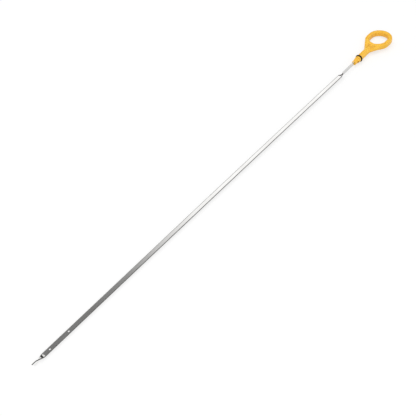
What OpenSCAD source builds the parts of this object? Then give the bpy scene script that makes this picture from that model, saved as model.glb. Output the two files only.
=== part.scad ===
// Engine oil dipstick: a long steel strip with two level holes, twisted a quarter turn
// near each end, held on edge in a moulded finger handle that carries a rubber seal ring.
// The origin is on the dipstick's axis in the middle plane of the pilot collar, which fits
// the mouth of the guide tube. +X runs along the axis to the finger ring and Z is up, with
// the strip lying flat. The dipstick is drawn as it comes to rest: on its tail's edge, on
// the seal ring and on one side of the finger ring.

/* [Strip] */
// Width of the steel strip
strip_w = 5; // [3.5:0.1:5.6]
// Thickness of the steel strip
strip_t = 1; // [0.7:0.05:1.4]
// Radius of the strip's rolled edges
edge_r = 0.35; // [0.1:0.05:0.45]
// Length of the flat run between the two twists
flat_len = 517.5; // [200:0.5:900]
// Sideways bow of the flat run, which slit strip keeps from its coil
strip_camber = 0.5; // [0:0.1:2]
// Length of the twist near the handle
upper_twist_len = 8; // [6:0.5:30]
// Length of the twist near the tail
lower_twist_len = 12.5; // [6:0.5:30]
// Turn of the strip from the flat run down to the tail, in degrees
lower_turn = 88; // [60:1:100]
// Length of the strip on edge between the nose and the upper twist
stub_len = 25; // [8:0.5:60]
// Length of the tail on edge below the lower twist
tail_len = 4; // [4:0.5:30]
// Length by which the tail's lower corner is cut back
tail_cut = 3; // [1:0.1:3.5]

/* [Level holes] */
// Diameter of each level hole
level_hole_d = 2; // [1:0.1:2.6]
// Distance between the full hole and the low hole
level_gap = 25.6; // [10:0.1:60]
// Distance from the low hole to the start of the lower twist
low_hole_offset = 6.9; // [3:0.1:30]

/* [Finger ring] */
// Outer width of the finger ring across the handle
ring_w = 32.8; // [30:0.2:40]
// Straight length between the ring's two half circles, which makes it oval
ring_stretch = 5; // [0:0.5:10]
// Radial width of the finger ring's section
ring_wall = 5.8; // [5.2:0.1:7]
// Thickness of the finger ring
ring_t = 7.5; // [6:0.1:8.2]
// Rounding of the ring's and the legs' long edges
rim_r = 2.2; // [1:0.1:2.4]
// Width of each leg that runs from the ring to the neck
leg_w = 5; // [4.8:0.1:5.4]
// Depth by which the legs' faces lie below the ring's faces
leg_sink = 0.1; // [0.05:0.05:0.5]
// Thickness of the web between the ring, the legs and the neck
web_t = 4.4; // [3:0.1:5.6]
// Distance from the collar's middle plane to the ring's centre
ring_offset = 51.3; // [48.5:0.1:72]

/* [Neck and nose] */
// Diameter of the neck and the pilot collar
neck_d = 8.1; // [7.8:0.1:8.8]
// Distance from the collar's middle plane to the neck's upper end
neck_len = 27.5; // [25.5:0.1:28.3]
// Rounding of the neck's upper end
neck_end_r = 1.2; // [0.5:0.1:3]
// Distance from the collar's middle plane to where the legs leave the neck
leg_start = 21.7; // [17.5:0.1:23.5]
// Length of the pilot collar between its relief groove and the seal groove
collar_len = 2.6; // [2:0.1:4]
// Width of the relief groove between the pilot collar and the nose
relief_w = 0.8; // [0.4:0.1:1.2]
// Depth of the relief groove
relief_depth = 0.6; // [0.2:0.1:0.8]
// Distance from the collar's middle plane to the nose's tip
nose_len = 10.1; // [9.5:0.1:30]
// Diameter of the nose's straight end
nose_tip_d = 5.9; // [5.8:0.1:6.6]
// Length of the nose's straight end
nose_end_len = 3.1; // [1:0.1:4]
// Diameter of the nose behind the relief groove
nose_base_d = 7.8; // [7.4:0.1:8]
// Rounding of the moulding's small edges
small_r = 0.3; // [0.1:0.05:0.5]

/* [Seal ring] */
// Diameter of the seal ring's round section
seal_d = 2; // [1.8:0.1:2.4]
// Diameter of the seal groove's floor
groove_d = 5.9; // [5.8:0.1:6.2]
// Side clearance between the seal ring and each groove wall
groove_play = 0.2; // [0.05:0.05:0.5]
// Clearance between the seal ring and the groove's floor
seat_play = 0.02; // [0.01:0.01:0.1]

/* [Strip anchorage] */
// Length of the strip held inside the handle
tang_len = 30; // [28:0.5:34]
// Diameter of the hole that keys the tang in the moulding
key_hole_d = 2.6; // [1.5:0.1:2.8]
// Distance from the tang's end to the key hole
key_hole_offset = 5.5; // [3:0.5:8]
// Diameter of the pin holes that located the strip in the mould
mould_pin_d = 2; // [1.5:0.1:2.8]
// Distance from the nose's tip to the mould pin holes
mould_pin_offset = 5.3; // [4.5:0.1:6.5]

/* [Hidden] */
$fn = 96;

ring_r = ring_w / 2;
neck_r = neck_d / 2;
groove_w = seal_d + 2 * groove_play;
seal_x = (collar_len + groove_w) / 2;
seal_path_r = groove_d / 2 + seat_play + seal_d / 2;
seal_r = seal_path_r + seal_d / 2;
nose_x = -collar_len / 2 - relief_w;

near_x = ring_offset - ring_stretch / 2;
leg_run = near_x - leg_start;
leg_angle = asin(ring_r / norm([leg_run, neck_r])) - atan2(neck_r, leg_run);
leg_len = sqrt(pow(leg_run, 2) + pow(neck_r, 2) - pow(ring_r, 2));

flat_end = -nose_len - stub_len - upper_twist_len;
flat_start = flat_end - flat_len;
tail_start = flat_start - lower_twist_len;
tail_end = tail_start - tail_len;
tang_end = tang_len - nose_len;

// How the dipstick lies: the axis falls towards the tail, and the handle leans over
// until a side of the finger ring touches the surface
lie_fall = asin((seal_r - strip_w / 2) / (seal_x - tail_end - tail_cut));
side_y = ring_r - rim_r;
side_z = ring_t / 2 - rim_r;
side_drop = seal_r + (near_x - seal_x) * sin(lie_fall) - rim_r;
lie_lean = asin(side_drop / norm([side_y, side_z])) - atan2(side_z, side_y);
tang_turn = -90 - lie_lean;

corner_steps = 3;
flat_steps = 12;
twist_steps = 26;
nose_steps = 14;
cut_margin = 1;

// Points of the strip's section, with the width along Y, the thickness along Z and
// rolled corners
function strip_outline() = [
    for (corner = [0:3], step = [0:corner_steps])
        let (a = 90 * (corner + step / corner_steps),
             sy = corner == 0 || corner == 3 ? 1 : -1,
             sz = corner < 2 ? 1 : -1)
        [sy * (strip_w / 2 - edge_r) + edge_r * cos(a),
         sz * (strip_t / 2 - edge_r) + edge_r * sin(a)]
];

// Share of a turn reached at a share u of the twist, easing in and out
function ease(u) = u * u * (3 - 2 * u);

// Sideways offset of the flat run at a position along it
function camber(x) = 4 * strip_camber * (x - flat_start) * (flat_end - x) / pow(flat_len, 2);

lower_twist = [
    for (i = [0:twist_steps])
        let (u = i / twist_steps)
        [tail_start + lower_twist_len * u, -lower_turn * (1 - ease(u)), 0]
];
flat_run = [
    for (i = [1:flat_steps - 1])
        let (x = flat_start + flat_len * i / flat_steps)
        [x, 0, camber(x)]
];
upper_twist = [
    for (i = [0:twist_steps])
        let (u = i / twist_steps)
        [flat_end + upper_twist_len * u, tang_turn * ease(u), 0]
];

// Strip swept through stations, each of them a position along X, a turn about X and an
// offset along Y
module swept_strip(stations) {
    outline = strip_outline();
    n = len(outline);
    last = len(stations) - 1;
    points = [
        for (s = stations, p = outline)
            [s[0],
             s[2] + p[0] * cos(s[1]) - p[1] * sin(s[1]),
             p[0] * sin(s[1]) + p[1] * cos(s[1])]
    ];
    sides = [
        for (i = [0:last - 1], j = [0:n - 1], half = [0, 1])
            let (a = i * n + j,
                 b = i * n + (j + 1) % n)
            half == 0 ? [a, a + n, b] : [b, a + n, b + n]
    ];
    caps = [
        [for (j = [0:n - 1]) j],
        [for (j = [n - 1:-1:0]) last * n + j]
    ];
    polyhedron(points = points, faces = concat(sides, caps), convexity = 4);
}

// Lays down its children, drawn along X, at the slope at which the dipstick rests
module at_rest() {
    rotate([0, -lie_fall, 0])
        children();
}

module level_hole(x) {
    translate([x, camber(x), -strip_t])
        cylinder(d = level_hole_d, h = 2 * strip_t);
}

// Cuts the tail's lower corner back, so that it can't catch in the guide tube
module tail_bevel() {
    cut_len = norm([tail_cut, strip_w]) + 2 * cut_margin;
    rotate([-lower_turn, 0, 0])
        translate([tail_end, -strip_w / 2, 0])
            rotate([0, 0, -atan2(tail_cut, strip_w)])
                translate([-2 * tail_cut, -cut_margin, -strip_t])
                    cube([2 * tail_cut, cut_len, 2 * strip_t]);
}

// Hole near the tang's end that the moulding fills, so that the strip can't be pulled out
module key_hole() {
    rotate([tang_turn, 0, 0])
        translate([tang_end - key_hole_offset, 0, -strip_t])
            cylinder(d = key_hole_d, h = 2 * strip_t);
}

module blade() {
    color([0.66, 0.65, 0.63])
        at_rest()
            difference() {
                swept_strip(concat(
                    [[tail_end, -lower_turn, 0]],
                    lower_twist,
                    flat_run,
                    upper_twist,
                    [[tang_end, tang_turn, 0]]
                ));
                tail_bevel();
                level_hole(flat_start + low_hole_offset);
                level_hole(flat_start + low_hole_offset + level_gap);
                key_hole();
            }
}

// Rectangle from the origin's X to X + w, centred on Y, with rounded corners
module rounded_section(w, t, r) {
    translate([r, -t / 2])
        square([w - 2 * r, t]);
    translate([0, -t / 2 + r])
        square([w, t - 2 * r]);
    for (x = [r, w - r], y = [-t / 2 + r, t / 2 - r])
        translate([x, y])
            circle(r);
}

// Solid of revolution about X, from a profile with radius along X and position along Y
module turned_on_axis() {
    rotate([0, 90, 0])
        rotate([0, 0, 90])
            rotate_extrude()
                children();
}

// Oval finger ring: two half circles joined by straight sides
module finger_ring() {
    for (far = [0, 1])
        translate([near_x + far * ring_stretch, 0, 0])
            rotate([0, 0, far ? -90 : 90])
                rotate_extrude(angle = 180)
                    translate([ring_r - ring_wall, 0])
                        rounded_section(ring_wall, ring_t, rim_r);
    for (side = [0, 1])
        mirror([0, side, 0])
            translate([near_x, ring_r - ring_wall, 0])
                rotate([90, 0, 90])
                    linear_extrude(height = ring_stretch)
                        rounded_section(ring_wall, ring_t, rim_r);
}

// One leg of the handle: a bar tangent to the ring's outside that runs into the neck
// and ends on the handle's middle plane
module leg() {
    buried_len = neck_r / sin(leg_angle);
    intersection() {
        translate([leg_start, neck_r, 0])
            rotate([0, 0, leg_angle])
                translate([-buried_len, 0, 0])
                    rotate([90, 0, 90])
                        linear_extrude(height = buried_len + leg_len)
                            translate([-leg_w, 0])
                                rounded_section(leg_w, ring_t - 2 * leg_sink, rim_r);
        translate([0, 0, -ring_t])
            cube([near_x, ring_r, 2 * ring_t]);
    }
}

// Web inside the legs, thinner than the rim so that it lies sunk between them
module web() {
    middle = ring_r - ring_wall / 2;
    tangent = [near_x - middle * sin(leg_angle), middle * cos(leg_angle)];
    root = tangent[0] - (tangent[1] - leg_w / 2) / tan(leg_angle);
    translate([0, 0, -web_t / 2])
        linear_extrude(height = web_t)
            difference() {
                polygon([
                    [root, -leg_w / 2], [tangent[0], -tangent[1]],
                    [tangent[0], tangent[1]], [root, leg_w / 2]
                ]);
                translate([near_x, 0])
                    circle(middle);
            }
}

// Neck above the seal groove, its upper end rounded where it stands proud of the web
module neck() {
    neck_x = seal_x + groove_w / 2;
    turned_on_axis()
        union() {
            translate([0, neck_x])
                square([neck_r - small_r, small_r]);
            translate([neck_r - small_r, neck_x + small_r])
                circle(small_r);
            translate([0, neck_x + small_r])
                square([neck_r, neck_len - neck_end_r - neck_x - small_r]);
            translate([neck_r - neck_end_r, neck_len - neck_end_r])
                circle(neck_end_r);
            translate([0, neck_len - neck_end_r])
                square([neck_r - neck_end_r, neck_end_r]);
        }
}

// Pilot collar that centres the handle in the guide tube, below the seal groove
module pilot_collar() {
    turned_on_axis()
        translate([0, -collar_len / 2])
            union() {
                square([neck_r - small_r, collar_len]);
                translate([0, small_r])
                    square([neck_r, collar_len - 2 * small_r]);
                for (y = [small_r, collar_len - small_r])
                    translate([neck_r - small_r, y])
                        circle(small_r);
            }
}

// Nose that leads the handle into the tube: a straight end, then a flare up to the
// relief groove
module nose() {
    tip_r = nose_tip_d / 2;
    base_r = nose_base_d / 2;
    flare_x = -nose_len + nose_end_len;
    flare = [
        for (i = [0:nose_steps])
            let (u = i / nose_steps)
            [tip_r + (base_r - tip_r) * ease(u), flare_x + (nose_x - small_r - flare_x) * u]
    ];
    turned_on_axis()
        polygon(concat(
            [[0, -nose_len], [tip_r - small_r, -nose_len], [tip_r, -nose_len + small_r]],
            flare,
            [[base_r - small_r, nose_x], [0, nose_x]]
        ));
}

// Core of the moulding between the nose and the neck: the floors of both grooves
module groove_floors() {
    rotate([0, 90, 0]) {
        cylinder(d = groove_d, h = seal_x + groove_w);
        translate([0, 0, nose_x - small_r])
            cylinder(d = neck_d - 2 * relief_depth, h = relief_w + 2 * small_r);
    }
}

// Blind holes on both sides of the nose, left by the pins that held the strip in the mould
module mould_pin_holes() {
    translate([mould_pin_offset - nose_len, 0, 0])
        rotate([90, 0, 0])
            cylinder(d = mould_pin_d, h = 2 * neck_d, center = true);
}

// Hollow of the strip in the moulding, with the peg that fills the tang's key hole
module tang_hollow() {
    difference() {
        swept_strip([[-nose_len - cut_margin, tang_turn, 0], [tang_end, tang_turn, 0]]);
        key_hole();
    }
}

module handle() {
    color([0.95, 0.69, 0.22])
        at_rest()
            difference() {
                rotate([-lie_lean, 0, 0])
                    difference() {
                        union() {
                            finger_ring();
                            leg();
                            mirror([0, 1, 0])
                                leg();
                            web();
                            neck();
                            groove_floors();
                            pilot_collar();
                            nose();
                        }
                        mould_pin_holes();
                    }
                tang_hollow();
            }
}

module seal_ring() {
    color([0.1, 0.08, 0.07])
        at_rest()
            turned_on_axis()
                translate([seal_path_r, seal_x])
                    circle(d = seal_d);
}

blade();
handle();
seal_ring();
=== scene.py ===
# %% [markdown]
# # An engine oil dipstick
#
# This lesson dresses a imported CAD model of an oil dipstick: a long steel strip, a moulded
# finger handle and a rubber seal ring.

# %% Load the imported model
import math

import bpy
from mathutils import Matrix, Quaternion, Vector
from mathutils.bvhtree import BVHTree


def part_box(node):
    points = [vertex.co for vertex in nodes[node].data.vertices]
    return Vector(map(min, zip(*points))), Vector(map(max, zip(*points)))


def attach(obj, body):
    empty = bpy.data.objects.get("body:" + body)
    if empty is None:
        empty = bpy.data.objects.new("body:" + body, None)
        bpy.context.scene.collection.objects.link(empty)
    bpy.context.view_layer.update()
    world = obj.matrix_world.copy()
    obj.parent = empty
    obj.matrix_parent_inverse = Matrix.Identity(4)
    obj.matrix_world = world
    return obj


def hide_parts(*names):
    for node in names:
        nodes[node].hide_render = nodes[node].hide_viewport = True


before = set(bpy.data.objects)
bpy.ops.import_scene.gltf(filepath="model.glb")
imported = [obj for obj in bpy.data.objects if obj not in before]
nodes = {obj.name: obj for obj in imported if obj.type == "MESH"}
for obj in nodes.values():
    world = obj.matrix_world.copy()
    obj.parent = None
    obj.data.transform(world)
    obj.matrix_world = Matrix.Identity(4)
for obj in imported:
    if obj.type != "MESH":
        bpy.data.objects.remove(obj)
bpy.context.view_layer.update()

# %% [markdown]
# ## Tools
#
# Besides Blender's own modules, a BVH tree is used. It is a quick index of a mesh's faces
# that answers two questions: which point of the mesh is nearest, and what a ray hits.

MM = 0.001
handle, strip, seal = nodes["handle"], nodes["blade"], nodes["seal_ring"]
print("CAD pieces:", sorted(nodes))

# %% [markdown]
# ## Reading the sizes back
#
# Nothing is measured twice. The height of the table comes from the boxes of the CAD pieces:
# the dipstick lies on its seal ring, on the edge of its tail and on one side of the finger
# ring, so the lowest of them all is where the table goes.

# %% Sizes taken from the CAD pieces
seal_low = Vector(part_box("seal_ring")[0])
strip_low, strip_high = (Vector(corner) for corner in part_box("blade"))
table_z = min(seal_low.z, strip_low.z)
print(f"table at {table_z / MM:.2f} mm, strip from {strip_low.x / MM:.1f} mm")


# %% [markdown]
# ## Working on a copy
#
# A CAD node's mesh is loose triangles and isn't changed. Where a piece needs a softer skin
# or smooth shading, a copy is made and its triangles are joined at their shared corners.
# The copy then stands for the node in the picture, and the node stays for the physics.

# %% Copy a CAD piece as one merged skin
SAME_POINT = 0.002 * MM


def only(piece):
    """Selects that piece alone and makes it the active one."""
    bpy.ops.object.select_all(action="DESELECT")
    piece.select_set(True)
    bpy.context.view_layer.objects.active = piece


def merged_copy(piece, name):
    """A copy of a CAD piece with its own mesh, its loose triangles joined into one skin."""
    copy = piece.copy()
    copy.data = piece.data.copy()
    copy.name = copy.data.name = name
    copy.parent = None
    for key in list(copy.keys()):
        del copy[key]
    bpy.context.scene.collection.objects.link(copy)
    only(copy)
    bpy.ops.object.mode_set(mode="EDIT")
    bpy.ops.mesh.select_all(action="SELECT")
    bpy.ops.mesh.remove_doubles(threshold=SAME_POINT)
    bpy.ops.mesh.customdata_custom_splitnormals_clear()
    bpy.ops.object.mode_set(mode="OBJECT")
    return copy


def finish_with(piece, kind, **settings):
    """Adds a modifier with its settings and applies it at once."""
    modifier = piece.modifiers.new(kind.lower(), kind)
    for key, value in settings.items():
        setattr(modifier, key, value)
    only(piece)
    bpy.ops.object.modifier_apply(modifier=modifier.name)


def skin_tree(piece):
    """An index of the piece's faces that finds the nearest point and what a ray hits."""
    mesh = piece.data
    return BVHTree.FromPolygons([v.co for v in mesh.vertices], [f.vertices for f in mesh.polygons])


# %% [markdown]
# ## The steel strip
#
# The strip is cold-rolled stock with rounded edges, turned a quarter turn near each end in
# a twisting jig. The CAD mesh of its twists is a row of flat facets. Smooth shading up to a
# set angle keeps the level holes and the cut tail crisp, while the twists look round. The
# angle is small, because a larger one would also tilt the shading of the flat faces.

# %% Smooth the strip's twists
STRIP_SMOOTH = math.radians(12)
steel = merged_copy(strip, "steel_strip")
bpy.ops.object.shade_smooth_by_angle(angle=STRIP_SMOOTH)
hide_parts("blade")
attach(steel, "root")
print("strip faces:", len(steel.data.polygons))

# %% [markdown]
# ## Where the strip's edges are
#
# The rolled edges are made duller than the two broad faces and darkened with painted shade,
# from the tail to the end of the flat run.
# A face is told apart by how far its plane lies from the strip's axis: half the thickness
# for a broad face, and much more for an edge. The axis falls a little towards the tail, so
# it is drawn through the middles of the tang's end and of the lower twist. The result is
# stored as a face attribute, which the material reads later.

# %% Mark the rolled edges
LOWER_TWIST_X = -566.8 * MM
EDGE_SHADE_END_X = -42.5 * MM
BROAD_DEPTH = 0.7 * MM
TANG_REACH, TWIST_REACH = 0.5 * MM, 3 * MM


def middle_at(mesh, x, reach):
    """The mean of the mesh's points whose X is within that reach."""
    near = [v.co for v in mesh.vertices if abs(v.co.x - x) < reach]
    return sum(near, Vector()) / len(near)


upper_end = middle_at(steel.data, strip_high.x, TANG_REACH)
lower_end = middle_at(steel.data, LOWER_TWIST_X, TWIST_REACH)
slope = (upper_end - lower_end) / (upper_end.x - lower_end.x)
rolled = steel.data.attributes.new("rolled_edge", "FLOAT", "FACE")
for face in steel.data.polygons:
    on_axis = upper_end + slope * (face.center.x - upper_end.x)
    depth = abs((face.center - on_axis).dot(face.normal))
    # These edge faces get painted shade and a duller gloss.
    shaded_edge = depth > BROAD_DEPTH and face.center.x < EDGE_SHADE_END_X
    rolled.data[face.index].value = 1.0 if shaded_edge else 0.0
print("rolled faces:", sum(1 for mark in rolled.data if mark.value))

# %% [markdown]
# ## How far across the strip a point is
#
# The borders of the broad faces get painted shade. To find the borders, each point of
# the mesh keeps its distance from the middle of its own cross-section, measured along Y.
# The strip bows a little, so the middle is found afresh for each section. In the twists
# the distance shrinks by itself, and the painted shade at the border fades out there.

# %% Measure the distance across the strip
SECTION_STEP = 0.02 * MM
sections = {}
for vertex in steel.data.vertices:
    sections.setdefault(round(vertex.co.x / SECTION_STEP), []).append(vertex)
# The distance feeds the painted shade on the borders of the broad faces.
across = steel.data.attributes.new("across", "FLOAT", "POINT")
for section in sections.values():
    middle_y = (min(v.co.y for v in section) + max(v.co.y for v in section)) / 2
    for vertex in section:
        across.data[vertex.index].value = vertex.co.y - middle_y
print("cross-sections:", len(sections))

# %% [markdown]
# ## The moulded handle
#
# The real handle is one injection moulding. Its walls meet in small fillets, because
# plastic doesn't flow into a sharp inner corner. The CAD solid has sharp corners there. A
# bevel could round them, but a boolean union leaves many short edges that it trips over.
# So the skin is rebuilt on a fine grid by a Remesh modifier and relaxed by a Smooth one.
# The strip's pocket inside would blur too, so its walls, which lie on the strip's own
# surface, are taken out first and its mouth is closed. They are picked in face mode,
# because in point mode the neighbours would be picked with them.

# %% Close the strip's pocket
ON_STRIP = 0.01 * MM
moulding = merged_copy(handle, "finger_handle")
bpy.ops.object.mode_set(mode="EDIT")
bpy.ops.mesh.select_mode(type="FACE")
bpy.ops.object.mode_set(mode="OBJECT")
steel_tree = skin_tree(steel)
for face in moulding.data.polygons:
    face.select = steel_tree.find_nearest(face.center)[3] < ON_STRIP
print("pocket faces:", sum(1 for face in moulding.data.polygons if face.select))
bpy.ops.object.mode_set(mode="EDIT")
bpy.ops.mesh.delete(type="FACE")
bpy.ops.mesh.select_all(action="SELECT")
bpy.ops.mesh.fill_holes(sides=0)
bpy.ops.object.mode_set(mode="OBJECT")

# %% Rebuild the skin on a fine grid
GRID = 0.25 * MM
finish_with(moulding, "REMESH", mode="VOXEL", voxel_size=GRID)
print("handle faces:", len(moulding.data.polygons))

# %% [markdown]
# ## The neck's end
#
# On the real handle the neck ends as a round bar that stands well proud of the two legs.
# The legs and the web are pressed thinner beside it, by moving the fine skin's points
# towards the handle's middle plane, and a round bar with a soft end is joined in. A second
# pass on the same grid welds the bar to the rest, and the Smooth modifier rounds it all.
# Both steps work in the handle's own directions: the ring leans about the dipstick's axis,
# and the axis falls with the strip.

# %% Thin the legs beside the neck
LEAN = math.radians(5.9)
THIN_START, THIN_END, THICK_AGAIN = 21.3 * MM, 29.0 * MM, 41.0 * MM
LEG_SHARE = 0.56
to_handle = Matrix.Rotation(LEAN, 4, "X") @ Matrix.Rotation(math.atan(slope.z), 4, "Y")
to_room = to_handle.inverted()


def thickness_share(x):
    """The share of its thickness that the handle keeps at that distance along it."""
    if x < THIN_START:
        return 1.0
    u = min(max((x - THIN_END) / (THICK_AGAIN - THIN_END), 0.0), 1.0)
    return LEG_SHARE + (1 - LEG_SHARE) * u * u * (3 - 2 * u)


for vertex in moulding.data.vertices:
    point = to_handle @ vertex.co
    point.z *= thickness_share(point.x)
    vertex.co = to_room @ point

# %% Join the neck's round bar
NECK_R, NECK_FROM, NECK_TO = 4.05 * MM, 8.0 * MM, 27.5 * MM
NECK_SIDES = 96
END_ROUND, END_STEPS = 1.1 * MM, 6
bpy.ops.object.select_all(action="DESELECT")
bpy.ops.mesh.primitive_cylinder_add(vertices=NECK_SIDES, radius=NECK_R, depth=NECK_TO - NECK_FROM,
                                    location=((NECK_FROM + NECK_TO) / 2, 0, 0),
                                    rotation=(0, math.pi / 2, 0))
bar = bpy.context.object
bpy.ops.object.transform_apply(location=True, rotation=True)
finish_with(bar, "BEVEL", width=END_ROUND, segments=END_STEPS, limit_method="ANGLE",
            angle_limit=math.radians(60))
bar.data.transform(to_room)
only(moulding)
bar.select_set(True)
bpy.ops.object.join()
finish_with(moulding, "REMESH", mode="VOXEL", voxel_size=GRID)
finish_with(moulding, "SMOOTH", factor=0.5, iterations=2)
print("handle faces:", len(moulding.data.polygons))

# %% [markdown]
# ## Sheltered corners
#
# The plastic gets painted shade where its own shape keeps light out: behind the neck's end,
# along the web and beside the seal. From each point of the skin a fan of short rays is sent
# out, and the share that hits the handle again says how sheltered the point is. It is kept as
# a point attribute, from which the plastic's material paints the shade.

# %% Measure how sheltered the skin is
FAN_SIZE = 40
SHELTER_REACH = 3.5 * MM
OFF_SKIN = 0.05 * MM
GRAZING = 0.1


def ray_fan(count):
    """Directions spread evenly over a sphere."""
    turn = math.pi * (3 - math.sqrt(5))
    fan = []
    for i in range(count):
        z = 1 - (2 * i + 1) / count
        r = math.sqrt(1 - z * z)
        fan.append(Vector((r * math.cos(turn * i), r * math.sin(turn * i), z)))
    return fan


handle_tree = skin_tree(moulding)
fan = ray_fan(FAN_SIZE)
# How sheltered each point is, for the painted shade in the plastic's colour.
shelter = moulding.data.attributes.new("shelter", "FLOAT", "POINT")
for vertex, mark in zip(moulding.data.vertices, shelter.data):
    start = vertex.co + vertex.normal * OFF_SKIN
    facing = [d for d in fan if d.dot(vertex.normal) > GRAZING]
    hits = sum(1 for d in facing if handle_tree.ray_cast(start, d, SHELTER_REACH)[0])
    mark.value = hits / len(facing)
print(f"most sheltered point: {max(mark.value for mark in shelter.data):.2f}")

# %% [markdown]
# ## Letting the strip back in
#
# The pocket is cut again with the strip's own shape, so that plastic and steel meet
# without a gap at the nose, as they do after insert moulding.

# %% Cut the pocket and dress the handle
HANDLE_SMOOTH = math.radians(40)
finish_with(moulding, "BOOLEAN", operation="DIFFERENCE", object=steel, solver="EXACT")
only(moulding)
bpy.ops.object.shade_smooth_by_angle(angle=HANDLE_SMOOTH)
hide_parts("handle")
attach(moulding, "root")
print("handle faces:", len(moulding.data.polygons))


# %% [markdown]
# ## Building materials from nodes
#
# Every finish below is a small node tree on top of one Principled shader. A helper makes
# the empty material, and another adds a node whose sockets take a value or a link. A few
# more wrap the nodes that every finish needs, which keeps each one short enough to read as
# a recipe.

# %% Helpers for materials
def new_finish(name):
    """An empty material with one Principled shader, its tree and that shader."""
    material = bpy.data.materials.new(name)
    material.use_nodes = True
    tree = material.node_tree
    return material, tree, tree.nodes["Principled BSDF"]


def feed(tree, socket, value):
    """Gives a socket its value, or a link where the value is another node's output."""
    if isinstance(value, bpy.types.NodeSocket):
        tree.links.new(value, socket)
    else:
        socket.default_value = value


def add(tree, kind, values=None, **settings):
    """A node of that kind, with what its sockets are fed and its settings."""
    node = tree.nodes.new(kind)
    for key, value in settings.items():
        setattr(node, key, value)
    for key, value in (values or {}).items():
        feed(tree, node.inputs[key], value)
    return node


def object_place(tree):
    """Each point's place in the object's own metres."""
    return add(tree, "ShaderNodeTexCoord").outputs["Object"]


def stretched(tree, place, scale):
    """That place, scaled differently along X, Y and Z."""
    return add(tree, "ShaderNodeMapping", {"Vector": place, "Scale": scale}).outputs["Vector"]


def noise(tree, place, scale, detail, roughness=0.5):
    """A cloudy pattern from 0 to 1."""
    values = {"Vector": place, "Scale": scale, "Detail": detail, "Roughness": roughness}
    return add(tree, "ShaderNodeTexNoise", values).outputs["Fac"]


def remap(tree, value, span, to, **settings):
    """That value, with its span stretched to another one and held inside it."""
    values = {"Value": value, "From Min": span[0], "From Max": span[1],
              "To Min": to[0], "To Max": to[1]}
    return add(tree, "ShaderNodeMapRange", values, **settings).outputs["Result"]


def ramp(tree, value, low, high):
    """A colour that runs between two stops, each given as its place and its colour."""
    node = add(tree, "ShaderNodeValToRGB", {"Fac": value})
    for element, (position, colour) in zip(node.color_ramp.elements, (low, high)):
        element.position, element.color = position, colour
    return node.outputs["Color"]


def blend(tree, factor, first, second):
    """A colour mixed from two."""
    values = {"Factor": factor, 6: first, 7: second}
    return add(tree, "ShaderNodeMix", values, data_type="RGBA").outputs[2]


def between(tree, factor, first, second):
    """A number mixed from two."""
    values = {"Factor": factor, 2: first, 3: second}
    return add(tree, "ShaderNodeMix", values, data_type="FLOAT").outputs[0]


def calc(tree, operation, *values):
    """The result of a Math node."""
    return add(tree, "ShaderNodeMath", dict(enumerate(values)), operation=operation).outputs[0]


def stored(tree, name):
    """The number that the mesh keeps under that name."""
    return add(tree, "ShaderNodeAttribute", attribute_name=name).outputs["Fac"]


def bump(tree, height, strength, depth):
    """The surface's direction, disturbed by a fine relief of that depth."""
    values = {"Height": height, "Strength": strength, "Distance": depth}
    return add(tree, "ShaderNodeBump", values).outputs["Normal"]


def linear(red, green, blue):
    """A colour written as 0 to 255 screen values, in the linear values that shaders use."""
    def one(c):
        c /= 255
        return c / 12.92 if c <= 0.04045 else ((c + 0.055) / 1.055) ** 2.4
    return (one(red), one(green), one(blue), 1)


def give(piece, material):
    """The piece has that finish and no other."""
    piece.data.materials.clear()
    piece.data.materials.append(material)


# %% [markdown]
# ## Orange-yellow plastic
#
# The handle's plastic is an evenly coloured nylon or polypropylene with a soft gloss. Three
# things keep it from looking flat: slow clouds of colour where the melt cooled unevenly, a
# fine spark-eroded texture from the mould, and a roughness that follows the clouds. In the
# sheltered corners a browner tone is painted shade.

# %% Handle plastic
MELT_LOW, MELT_HIGH = linear(241, 181, 47), linear(246, 193, 61)
# Painted shade: the browner tone that darkens the sheltered corners.
SHELTER_SHADE = linear(160, 98, 28)
SHADE_SHELTER, SHADE_SHARE = (0.1, 0.42), (0.0, 0.85)
SPARK_DEPTH = 0.04 * MM
PLASTIC_ROUGH = (0.33, 0.47)

handle_plastic, tree, shader = new_finish("handle_plastic")
place = object_place(tree)
clouds = noise(tree, place, scale=85.0, detail=4.0, roughness=0.6)
melt = ramp(tree, clouds, (0.3, MELT_LOW), (0.72, MELT_HIGH))
# Painted shade: the sheltered corners are mixed towards a browner tone.
painted_shade = remap(tree, stored(tree, "shelter"), SHADE_SHELTER, SHADE_SHARE)
feed(tree, shader.inputs["Base Color"], blend(tree, painted_shade, melt, SHELTER_SHADE))
grain = noise(tree, place, scale=4200.0, detail=3.0, roughness=0.55)
feed(tree, shader.inputs["Normal"], bump(tree, grain, 0.22, SPARK_DEPTH))
feed(tree, shader.inputs["Roughness"], remap(tree, clouds, (0, 1), PLASTIC_ROUGH))
shader.inputs["IOR"].default_value = 1.47
shader.inputs["Subsurface Weight"].default_value = 0.05
shader.inputs["Subsurface Radius"].default_value = (1.0, 0.5, 0.15)
shader.inputs["Subsurface Scale"].default_value = 1.0 * MM
give(moulding, handle_plastic)
print("handle plastic:", len(tree.nodes), "nodes")
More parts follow.
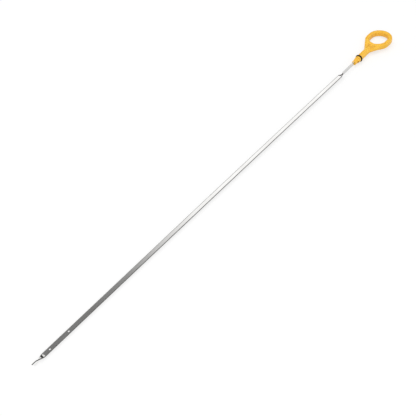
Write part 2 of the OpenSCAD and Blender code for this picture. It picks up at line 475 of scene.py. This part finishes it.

# %% [markdown]
# ## Cold-rolled steel
#
# The strip is bright rolled steel. Rolling leaves fine lines along its length, so the grain
# is a noise that is stretched along X. It drives the roughness and a very shallow bump, and
# a second, slower noise clouds the colour as handling and oil do. The rolled edges and the
# borders of the broad faces are duller, and darker with painted shade, by the attribute that
# was marked before and by the distance across. The tail's end gets a painted reflection: its
# colour is lighter, so it shows white. The upper twist gets a slanting band of painted shade,
# which is a band in X plus Y. The rest of the tone is what steel mirrors.

# %% Strip steel
STEEL_LOW, STEEL_HIGH = (0.58, 0.57, 0.56, 1), (0.68, 0.68, 0.67, 1)
# Painted reflection: the tail's end is lighter so that it shows white.
TAIL_REFLECTION_TONE = (0.92, 0.92, 0.91, 1)
TAIL_REFLECTION_X = (-570.5 * MM, -567.5 * MM)
# Painted shade on the rolled edges and on the borders of the broad faces:
EDGE_SHADE = (0.12, 0.115, 0.11, 1)
BORDER_FROM, BORDER_SHARE = (1.75 * MM, 2.1 * MM), (0.0, 0.75)
STEEL_ROUGH, EDGE_ROUGH = (0.05, 0.11), 0.4
# Painted shade: a slanting dark band on the upper twist.
TWIST_SHADE = (0.06, 0.035, 0.035, 1)
TWIST_SHADE_X = -40.2 * MM
TWIST_SHADE_FADE, TWIST_SHADE_SHARE = (1.4 * MM, 2.2 * MM), (0.95, 0.0)
ROLLING_DEPTH = 0.02 * MM

strip_steel, tree, shader = new_finish("strip_steel")
place = object_place(tree)
lines = noise(tree, stretched(tree, place, (30.0, 5200.0, 5200.0)), 1.0, detail=5.0, roughness=0.6)
clouds = noise(tree, stretched(tree, place, (28.0, 220.0, 220.0)), 1.0, detail=3.0)
tone = ramp(tree, clouds, (0.25, STEEL_LOW), (0.75, STEEL_HIGH))
spot = add(tree, "ShaderNodeSeparateXYZ", {"Vector": place})
# Painted reflection on the tail's end.
tail_reflection = remap(tree, spot.outputs["X"], TAIL_REFLECTION_X, (1.0, 0.0))
bright = blend(tree, tail_reflection, tone, TAIL_REFLECTION_TONE)
gloss = remap(tree, lines, (0, 1), STEEL_ROUGH)
# Painted shade: the rolled edges and the borders of the broad faces are darkened.
border = remap(tree, calc(tree, "ABSOLUTE", stored(tree, "across")), BORDER_FROM, BORDER_SHARE)
edge = calc(tree, "MAXIMUM", stored(tree, "rolled_edge"), border)
edge_shaded = blend(tree, edge, bright, EDGE_SHADE)
# Painted shade: a slanting band in X plus Y on the upper twist.
slant = calc(tree, "ADD", spot.outputs["X"], spot.outputs["Y"])
off_twist_shade = calc(tree, "ABSOLUTE", calc(tree, "SUBTRACT", slant, TWIST_SHADE_X))
mark = remap(tree, off_twist_shade, TWIST_SHADE_FADE, TWIST_SHADE_SHARE)
feed(tree, shader.inputs["Base Color"], blend(tree, mark, edge_shaded, TWIST_SHADE))
feed(tree, shader.inputs["Roughness"], between(tree, edge, gloss, EDGE_ROUGH))
feed(tree, shader.inputs["Normal"], bump(tree, lines, 0.05, ROLLING_DEPTH))
shader.inputs["Metallic"].default_value = 1.0
give(steel, strip_steel)
print("strip steel:", len(tree.nodes), "nodes")

# %% [markdown]
# ## Rubber
#
# The seal ring is black nitrile rubber with a trace of old oil, so it is a very dark brown
# with a broad, weak gloss.

# %% Seal rubber
RUBBER_LOW, RUBBER_HIGH = linear(14, 8, 5), linear(36, 24, 14)
RUBBER_DEPTH = 0.03 * MM

seal_rubber, tree, shader = new_finish("seal_rubber")
dust = noise(tree, object_place(tree), scale=2400.0, detail=4.0)
feed(tree, shader.inputs["Base Color"], ramp(tree, dust, (0.35, RUBBER_LOW), (0.8, RUBBER_HIGH)))
feed(tree, shader.inputs["Normal"], bump(tree, dust, 0.2, RUBBER_DEPTH))
shader.inputs["Roughness"].default_value = 0.55
shader.inputs["Specular IOR Level"].default_value = 0.25
give(seal, seal_rubber)
print("seal rubber:", len(tree.nodes), "nodes")

# %% [markdown]
# ## The table
#
# The table is a large white plane at the height of the lowest point. To the camera, and in
# the steel, most of its tone is its own white and the rest is the light that falls on it.
# So the ground stays as white as the photo's, and the object keeps a faint shadow.

# %% Table
TABLE_SIZE = 30
SHADOW_SHARE = 0.35
OWN_WHITE = 1.04
bpy.ops.object.select_all(action="DESELECT")
bpy.ops.mesh.primitive_plane_add(size=TABLE_SIZE, location=(0, 0, table_z))
table = bpy.context.object
table.name = "table"
white_table, tree, shader = new_finish("white_table")
shader.inputs["Base Color"].default_value = (0.9, 0.9, 0.9, 1)
shader.inputs["Roughness"].default_value = 0.9
shader.inputs["Specular IOR Level"].default_value = 0.0
path = add(tree, "ShaderNodeLightPath").outputs
seen = calc(tree, "MAXIMUM", path["Is Camera Ray"], path["Is Glossy Ray"])
share = calc(tree, "MULTIPLY", seen, 1 - SHADOW_SHARE)
plain = add(tree, "ShaderNodeEmission", {"Color": (1, 1, 1, 1), "Strength": OWN_WHITE})
ground = add(tree, "ShaderNodeMixShader", {"Fac": share, 1: shader.outputs[0], 2: plain.outputs[0]})
feed(tree, tree.nodes["Material Output"].inputs["Surface"], ground.outputs[0])
give(table, white_table)

# %% [markdown]
# ## The room
#
# The room is only a world shader. Bright steel shows what it mirrors, so for mirrored rays
# the room has white walls and a grey ceiling, and on the side that the camera looks to, the
# wall is dark up to a window's sill. The walls whiten the strip's half near the handle, the
# ceiling greys its other half, and the dark wall draws the marks on the twists. All other
# light is even. Heights are written as the Z of a direction with a length of one.

# %% Room
WALL_TO_CEILING_Z, WALL_TO_CEILING = (0.75, 0.812), (1.5, 0.3)
SILL_Z, UNDER_SILL = (0.5, 0.61), 0.04
AHEAD = (0.64, 0.77, 0.0)
SILL_SIDE = (0.45, 0.6)
EVEN_LIGHT = 0.7

world = bpy.data.worlds.new("room")
bpy.context.scene.world = world
world.use_nodes = True
tree = world.node_tree
sky = tree.nodes["Background"]
towards = add(tree, "ShaderNodeTexCoord").outputs["Generated"]
height = add(tree, "ShaderNodeSeparateXYZ", {"Vector": towards}).outputs["Z"]
soft = {"interpolation_type": "SMOOTHSTEP"}
ceiling = remap(tree, height, WALL_TO_CEILING_Z, WALL_TO_CEILING, **soft)
sill = remap(tree, height, SILL_Z, (UNDER_SILL, 1.0), **soft)
ahead = add(tree, "ShaderNodeVectorMath", {0: towards, 1: AHEAD}, operation="DOT_PRODUCT")
other_walls = remap(tree, ahead.outputs["Value"], SILL_SIDE, (1.0, 0.0), **soft)
walls = calc(tree, "MAXIMUM", sill, other_walls)
room = calc(tree, "MULTIPLY", ceiling, walls)
path = add(tree, "ShaderNodeLightPath").outputs
mirrored = between(tree, path["Is Glossy Ray"], EVEN_LIGHT, room)
feed(tree, sky.inputs["Strength"], between(tree, path["Is Camera Ray"], mirrored, 1.0))
sky.inputs["Color"].default_value = (1, 1, 1, 1)
print("room:", len(tree.nodes), "nodes")


# %% [markdown]
# ## The lamps
#
# A large soft lamp hangs over the table, a little behind the object, as a photo studio's
# softbox does. A weaker one beside the camera fills the sides that face it, such as the
# nose's end. Steel mirrors neither, because the room's walls already stand in for them.

# %% Lamps
def soft_lamp(name, place_at, aim_at, size, watts):
    """A square area lamp at that place, turned to that point."""
    lamp = bpy.data.lights.new(name, "AREA")
    lamp.size, lamp.energy = size, watts
    holder = bpy.data.objects.new(name, lamp)
    bpy.context.scene.collection.objects.link(holder)
    holder.location = place_at
    holder.rotation_euler = (Vector(aim_at) - Vector(place_at)).to_track_quat("-Z", "Y").to_euler()
    holder.visible_glossy = False


aim_x = (seal_low.x + strip_low.x) / 2 + 0.1
soft_lamp("overhead", (aim_x, 0.5, 2.2), (aim_x, 0, 0), size=2.0, watts=19)
soft_lamp("fill", (-1.3, -0.9, 0.9), (aim_x, 0, 0), size=1.2, watts=5)
print(f"lamps aim at X = {aim_x:.3f} m")

# %% [markdown]
# ## The camera
#
# The photo looks down on the dipstick from the tail's side. Its place, direction and lens
# were found by fitting the ring, the seal, the twists and the tail of the CAD model to
# their places in the photo. The last turn levels the picture.

# %% Camera
CAMERA_AT = (-0.80266, -0.38533, 0.69306)
CAMERA_AIM = Vector((0.52097, 0.40854, -0.74946))
CAMERA_ROLL = math.radians(0.344)
CAMERA_LENS, SENSOR_WIDTH = 73.56, 36

camera = bpy.data.objects.new("camera", bpy.data.cameras.new("camera"))
bpy.context.scene.collection.objects.link(camera)
camera.location = CAMERA_AT
level = CAMERA_AIM.to_track_quat("-Z", "Y")
camera.rotation_euler = (level @ Quaternion((0, 0, 1), CAMERA_ROLL)).to_euler()
camera.data.sensor_fit = "HORIZONTAL"
camera.data.sensor_width = SENSOR_WIDTH
camera.data.lens = CAMERA_LENS
bpy.context.scene.camera = camera
bpy.context.scene.view_settings.view_transform = "Standard"
